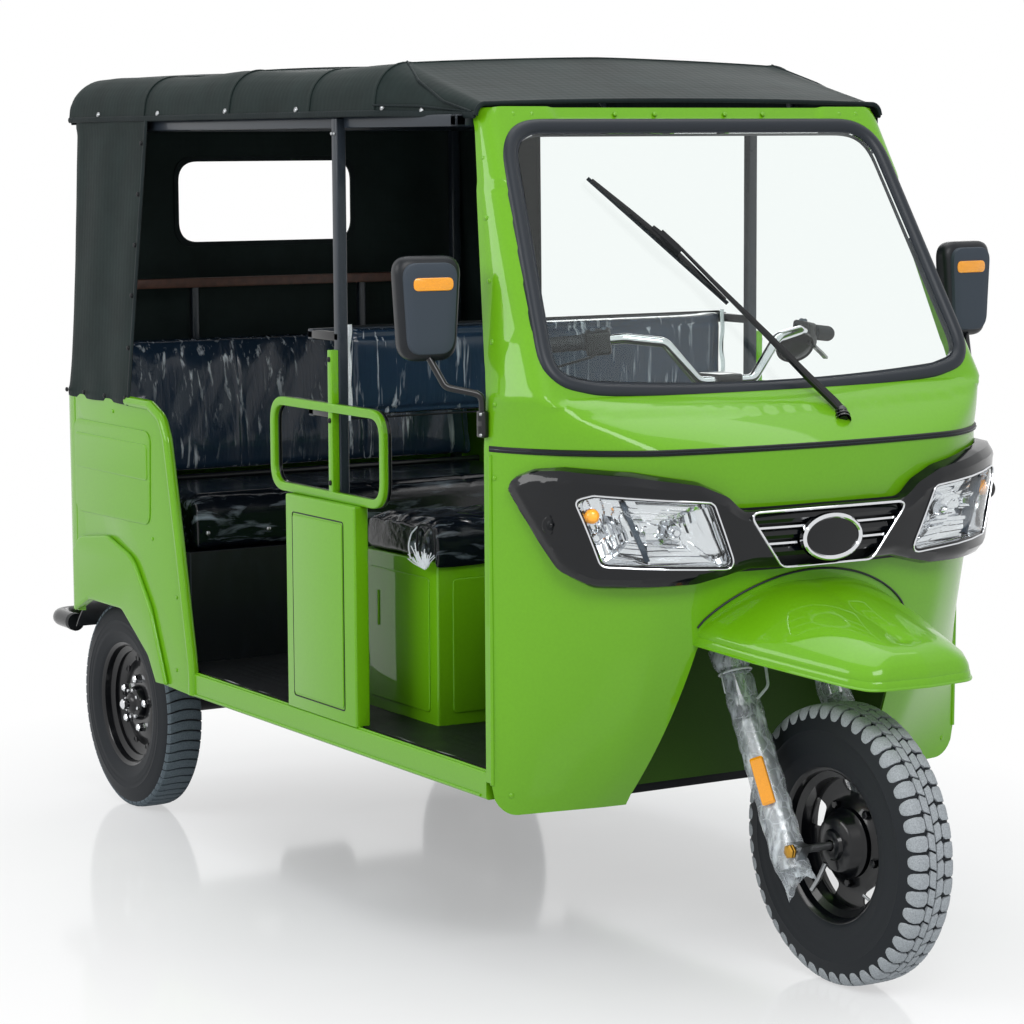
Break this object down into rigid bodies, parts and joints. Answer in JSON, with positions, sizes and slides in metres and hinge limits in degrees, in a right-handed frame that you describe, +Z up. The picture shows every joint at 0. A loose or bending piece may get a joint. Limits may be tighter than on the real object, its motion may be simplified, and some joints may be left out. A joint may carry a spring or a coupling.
{
  "type": "auto rickshaw",
  "caption": "Three-wheeled passenger auto rickshaw with an open-sided cab, canvas canopy, driver's bench, passenger bench and handlebar steering.",
  "frame": {"origin": "on the ground under the centre of the vehicle's bounding box", "axes": "+X to the vehicle's left, +Y to the rear, +Z up"},
  "size_m": [1.5308, 3.0358, 1.8798],
  "materials": {
    "body_green": "gloss",
    "chassis_black": "satin",
    "frame_black": "gloss",
    "rim_black": "gloss",
    "floor_mat": "matt ribbed",
    "trim_black": "satin",
    "seal_rubber": "satin",
    "clear_glass": "clear",
    "mask_black": "high gloss",
    "reflector_chrome": "polished",
    "bar_chrome": "polished",
    "canvas_grey": "waxed",
    "seat_vinyl": "satin vinyl",
    "lamp_red": "gloss",
    "engine_alloy": "rough cast",
    "tyre_rubber": "matt",
    "mirror_shell": "gloss"
  },
  "bodies": {
    "body": {"chassis_frame": "chassis_black", "floor_pan": "floor_mat", "side_sills": "body_green", "front_fascia": "body_green", "wheel_arch_liner": "chassis_black", "front_fender": "body_green", "belt_trim": "trim_black", "windscreen_seal": "seal_rubber", "windscreen_glass": "clear_glass", "headlamp_mask": "mask_black", "headlamp_lenses": "clear_glass", "headlamp_reflectors": "reflector_chrome", "grille_trim": "reflector_chrome", "centre_side_panels": "body_green", "grab_loops": "body_green", "cab_frame": "frame_black", "canopy_roof": "canvas_grey", "rear_curtain": "canvas_grey", "rear_side_panels": "body_green", "rear_panel": "body_green", "tail_lamps": "lamp_red", "rear_bumper": "frame_black", "rear_tub": "chassis_black", "engine_block": "engine_alloy", "driver_seat_box": "body_green", "driver_cushion": "seat_vinyl", "driver_backrest": "seat_vinyl", "bench_cushion": "seat_vinyl", "bench_backrest": "seat_vinyl", "rear_axle": "chassis_black", "leaf_springs": "chassis_black", "dash_panel": "body_green", "brake_pedal": "frame_black", "mirrors": "mirror_shell", "wiper": "trim_black"},
    "steering": {"fork": "frame_black", "handlebar": "bar_chrome", "handlebar_controls": "trim_black"},
    "front_wheel": {"front_rim": "rim_black", "front_tyre": "tyre_rubber"},
    "rear_wheel_right": {"rear_rim_right": "rim_black", "rear_tyre_right": "tyre_rubber"},
    "rear_wheel_left": {"rear_rim_left": "rim_black", "rear_tyre_left": "tyre_rubber"}
  },
  "joints": [
    {"name": "steering", "type": "hinge", "parent": "body", "child": "steering", "pos_m": [0, -0.9044, 0.79096], "axis": [0, 0.4756, 0.8796], "range_deg": [-35, 35]},
    {"name": "front_wheel_spin", "type": "hinge", "parent": "steering", "child": "front_wheel", "pos_m": [0, -1.232, 0.286], "axis": [1, 0, 0], "continuous": true},
    {"name": "rear_wheel_right_spin", "type": "hinge", "parent": "body", "child": "rear_wheel_right", "pos_m": [-0.509, 1.078, 0.2675], "axis": [1, 0, 0], "continuous": true},
    {"name": "rear_wheel_left_spin", "type": "hinge", "parent": "body", "child": "rear_wheel_left", "pos_m": [0.509, 1.078, 0.2675], "axis": [1, 0, 0], "continuous": true}
  ]
}
